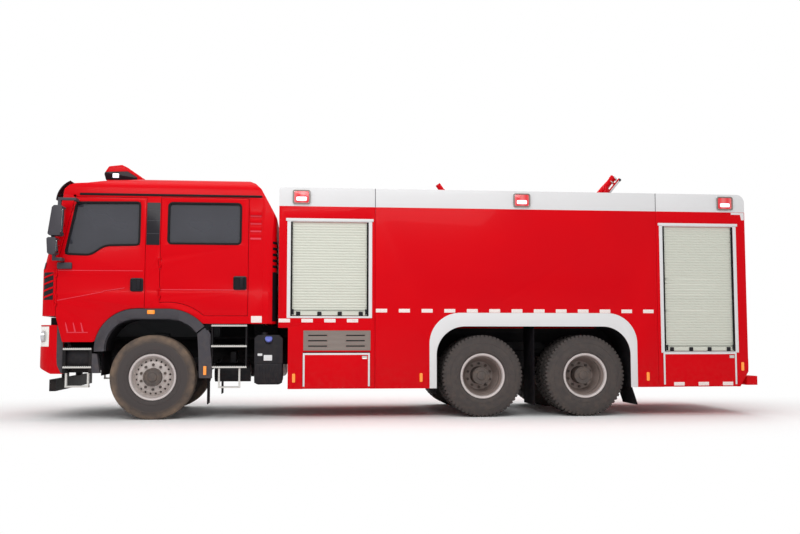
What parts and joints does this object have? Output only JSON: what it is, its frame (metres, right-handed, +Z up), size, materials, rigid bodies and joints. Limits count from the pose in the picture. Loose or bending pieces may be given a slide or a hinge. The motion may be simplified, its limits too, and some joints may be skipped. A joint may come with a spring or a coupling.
{
  "type": "airport fire truck",
  "caption": "Red crew-cab airport fire truck with roller-shutter lockers, white roof band, roof water monitor, opening doors and drop flaps, steered front wheels and a tilting cab.",
  "frame": {"origin": "on the ground under the middle of the overall length and width", "axes": "+X forward along the truck, +Y to its left, +Z up"},
  "size_m": [9.64, 3.08, 3.4905],
  "materials": {
    "red_paint": "gloss",
    "white_paint": "gloss",
    "chassis_black": "satin",
    "engine_grey": "matte",
    "black_plastic": "matte",
    "black_rubber": "matte",
    "deck_aluminium": "satin",
    "shutter_aluminium": "satin",
    "lamp_lens": "gloss",
    "beacon_lens": "gloss",
    "visor_acrylic": "gloss",
    "tinted_glass": "gloss",
    "cab_liner": "matte",
    "seat_fabric": "matte",
    "tyre": "matte",
    "rim_silver": "satin"
  },
  "bodies": {
    "chassis": {"frame": "chassis_black", "bumpers": "red_paint", "lamps": "lamp_lens", "axles": "chassis_black", "springs": "chassis_black", "powertrain": "engine_grey", "tanks": "black_plastic", "steps": "black_plastic", "mudguards": "black_rubber", "body_front": "red_paint", "body_tank": "red_paint", "body_rear": "red_paint", "roof_parapet": "white_paint", "roof_deck": "deck_aluminium", "shutters": "shutter_aluminium", "body_trims": "white_paint"},
    "cab": {"cab_floor": "cab_liner", "cab_front": "red_paint", "cab_roof": "red_paint", "cab_back": "red_paint", "cab_sides": "red_paint", "windscreen": "tinted_glass", "cab_arches": "black_plastic", "seats": "seat_fabric", "dashboard": "cab_liner", "sun_visor": "visor_acrylic", "light_bar": "beacon_lens"},
    "front_left_door": {"door_front_left": "red_paint", "glass_front_left": "tinted_glass", "mirror_left": "black_plastic"},
    "rear_left_door": {"door_rear_left": "red_paint", "glass_rear_left": "tinted_glass"},
    "front_right_door": {"door_front_right": "red_paint", "glass_front_right": "tinted_glass", "mirror_right": "black_plastic"},
    "rear_right_door": {"door_rear_right": "red_paint", "glass_rear_right": "tinted_glass"},
    "left_knuckle": {"knuckle_left": "chassis_black"},
    "right_knuckle": {"knuckle_right": "chassis_black"},
    "front_left_wheel": {"tyre_front_left": "tyre", "wheel_front_left": "rim_silver"},
    "front_right_wheel": {"tyre_front_right": "tyre", "wheel_front_right": "rim_silver"},
    "rear1_left_wheels": {"tyres_rear1_left": "tyre", "wheels_rear1_left": "rim_silver"},
    "rear1_right_wheels": {"tyres_rear1_right": "tyre", "wheels_rear1_right": "rim_silver"},
    "rear2_left_wheels": {"tyres_rear2_left": "tyre", "wheels_rear2_left": "rim_silver"},
    "rear2_right_wheels": {"tyres_rear2_right": "tyre", "wheels_rear2_right": "rim_silver"},
    "front_left_flap": {"flap_front_left": "red_paint"},
    "rear_left_flap": {"flap_rear_left": "red_paint"},
    "front_right_flap": {"flap_front_right": "red_paint"},
    "rear_right_flap": {"flap_rear_right": "red_paint"},
    "monitor_head": {"monitor_turret": "red_paint"},
    "monitor_gun": {"monitor_barrel": "red_paint"},
    "manway_cover": {"tank_lid": "deck_aluminium"}
  },
  "joints": [
    {"name": "cab_tilt", "type": "hinge", "parent": "chassis", "child": "cab", "pos_m": [4.57, 0, 0.95], "axis": [0, 1, 0], "range_deg": [0, 45]},
    {"name": "front_left_door_swing", "type": "hinge", "parent": "cab", "child": "front_left_door", "pos_m": [4.527, 1.245, 1.765], "axis": [0, 0, -1], "range_deg": [0, 70]},
    {"name": "rear_left_door_swing", "type": "hinge", "parent": "cab", "child": "rear_left_door", "pos_m": [3.24, 1.245, 1.815], "axis": [0, 0, -1], "range_deg": [0, 70]},
    {"name": "front_right_door_swing", "type": "hinge", "parent": "cab", "child": "front_right_door", "pos_m": [4.527, -1.245, 1.765], "axis": [0, 0, 1], "range_deg": [0, 70]},
    {"name": "rear_right_door_swing", "type": "hinge", "parent": "cab", "child": "rear_right_door", "pos_m": [3.24, -1.245, 1.815], "axis": [0, 0, 1], "range_deg": [0, 70]},
    {"name": "left_steer", "type": "hinge", "parent": "chassis", "child": "left_knuckle", "pos_m": [3.32, 0.9, 0.5425], "axis": [0, 0, 1], "range_deg": [-35, 35]},
    {"name": "front_left_wheel_spin", "type": "hinge", "parent": "left_knuckle", "child": "front_left_wheel", "pos_m": [3.32, 1.02, 0.5425], "axis": [0, 1, 0], "continuous": true},
    {"name": "rear1_left_wheel_spin", "type": "hinge", "parent": "chassis", "child": "rear1_left_wheels", "pos_m": [-0.98, 0.9175, 0.5425], "axis": [0, 1, 0], "continuous": true},
    {"name": "rear2_left_wheel_spin", "type": "hinge", "parent": "chassis", "child": "rear2_left_wheels", "pos_m": [-2.38, 0.9175, 0.5425], "axis": [0, 1, 0], "continuous": true},
    {"name": "right_steer", "type": "hinge", "parent": "chassis", "child": "right_knuckle", "pos_m": [3.32, -0.9, 0.5425], "axis": [0, 0, 1], "range_deg": [-35, 35]},
    {"name": "front_right_wheel_spin", "type": "hinge", "parent": "right_knuckle", "child": "front_right_wheel", "pos_m": [3.32, -1.02, 0.5425], "axis": [0, 1, 0], "continuous": true},
    {"name": "rear1_right_wheel_spin", "type": "hinge", "parent": "chassis", "child": "rear1_right_wheels", "pos_m": [-0.98, -0.9175, 0.5425], "axis": [0, 1, 0], "continuous": true},
    {"name": "rear2_right_wheel_spin", "type": "hinge", "parent": "chassis", "child": "rear2_right_wheels", "pos_m": [-2.38, -0.9175, 0.5425], "axis": [0, 1, 0], "continuous": true},
    {"name": "front_left_flap_drop", "type": "hinge", "parent": "chassis", "child": "front_left_flap", "pos_m": [0.9615, 1.236, 0.401], "axis": [-1, 0, 0], "range_deg": [0, 90]},
    {"name": "rear_left_flap_drop", "type": "hinge", "parent": "chassis", "child": "rear_left_flap", "pos_m": [-3.982, 1.236, 0.401], "axis": [-1, 0, 0], "range_deg": [0, 90]},
    {"name": "front_right_flap_drop", "type": "hinge", "parent": "chassis", "child": "front_right_flap", "pos_m": [0.9615, -1.236, 0.401], "axis": [1, 0, 0], "range_deg": [0, 90]},
    {"name": "rear_right_flap_drop", "type": "hinge", "parent": "chassis", "child": "rear_right_flap", "pos_m": [-3.982, -1.236, 0.401], "axis": [1, 0, 0], "range_deg": [0, 90]},
    {"name": "monitor_swivel", "type": "hinge", "parent": "chassis", "child": "monitor_head", "pos_m": [-3.01, 0, 3.05], "axis": [0, 0, 1], "range_deg": [-170, 170]},
    {"name": "monitor_elevation", "type": "hinge", "parent": "monitor_head", "child": "monitor_gun", "pos_m": [-3.01, 0, 3.18], "axis": [0, 1, 0], "range_deg": [-67, 20]},
    {"name": "manway_lid_lift", "type": "hinge", "parent": "chassis", "child": "manway_cover", "pos_m": [0.115, 0, 2.94], "axis": [0, 1, 0], "range_deg": [0, 100]}
  ],
  "couplings": [
    {"joint": "right_steer", "follows": "left_steer", "ratio": 1}
  ]
}
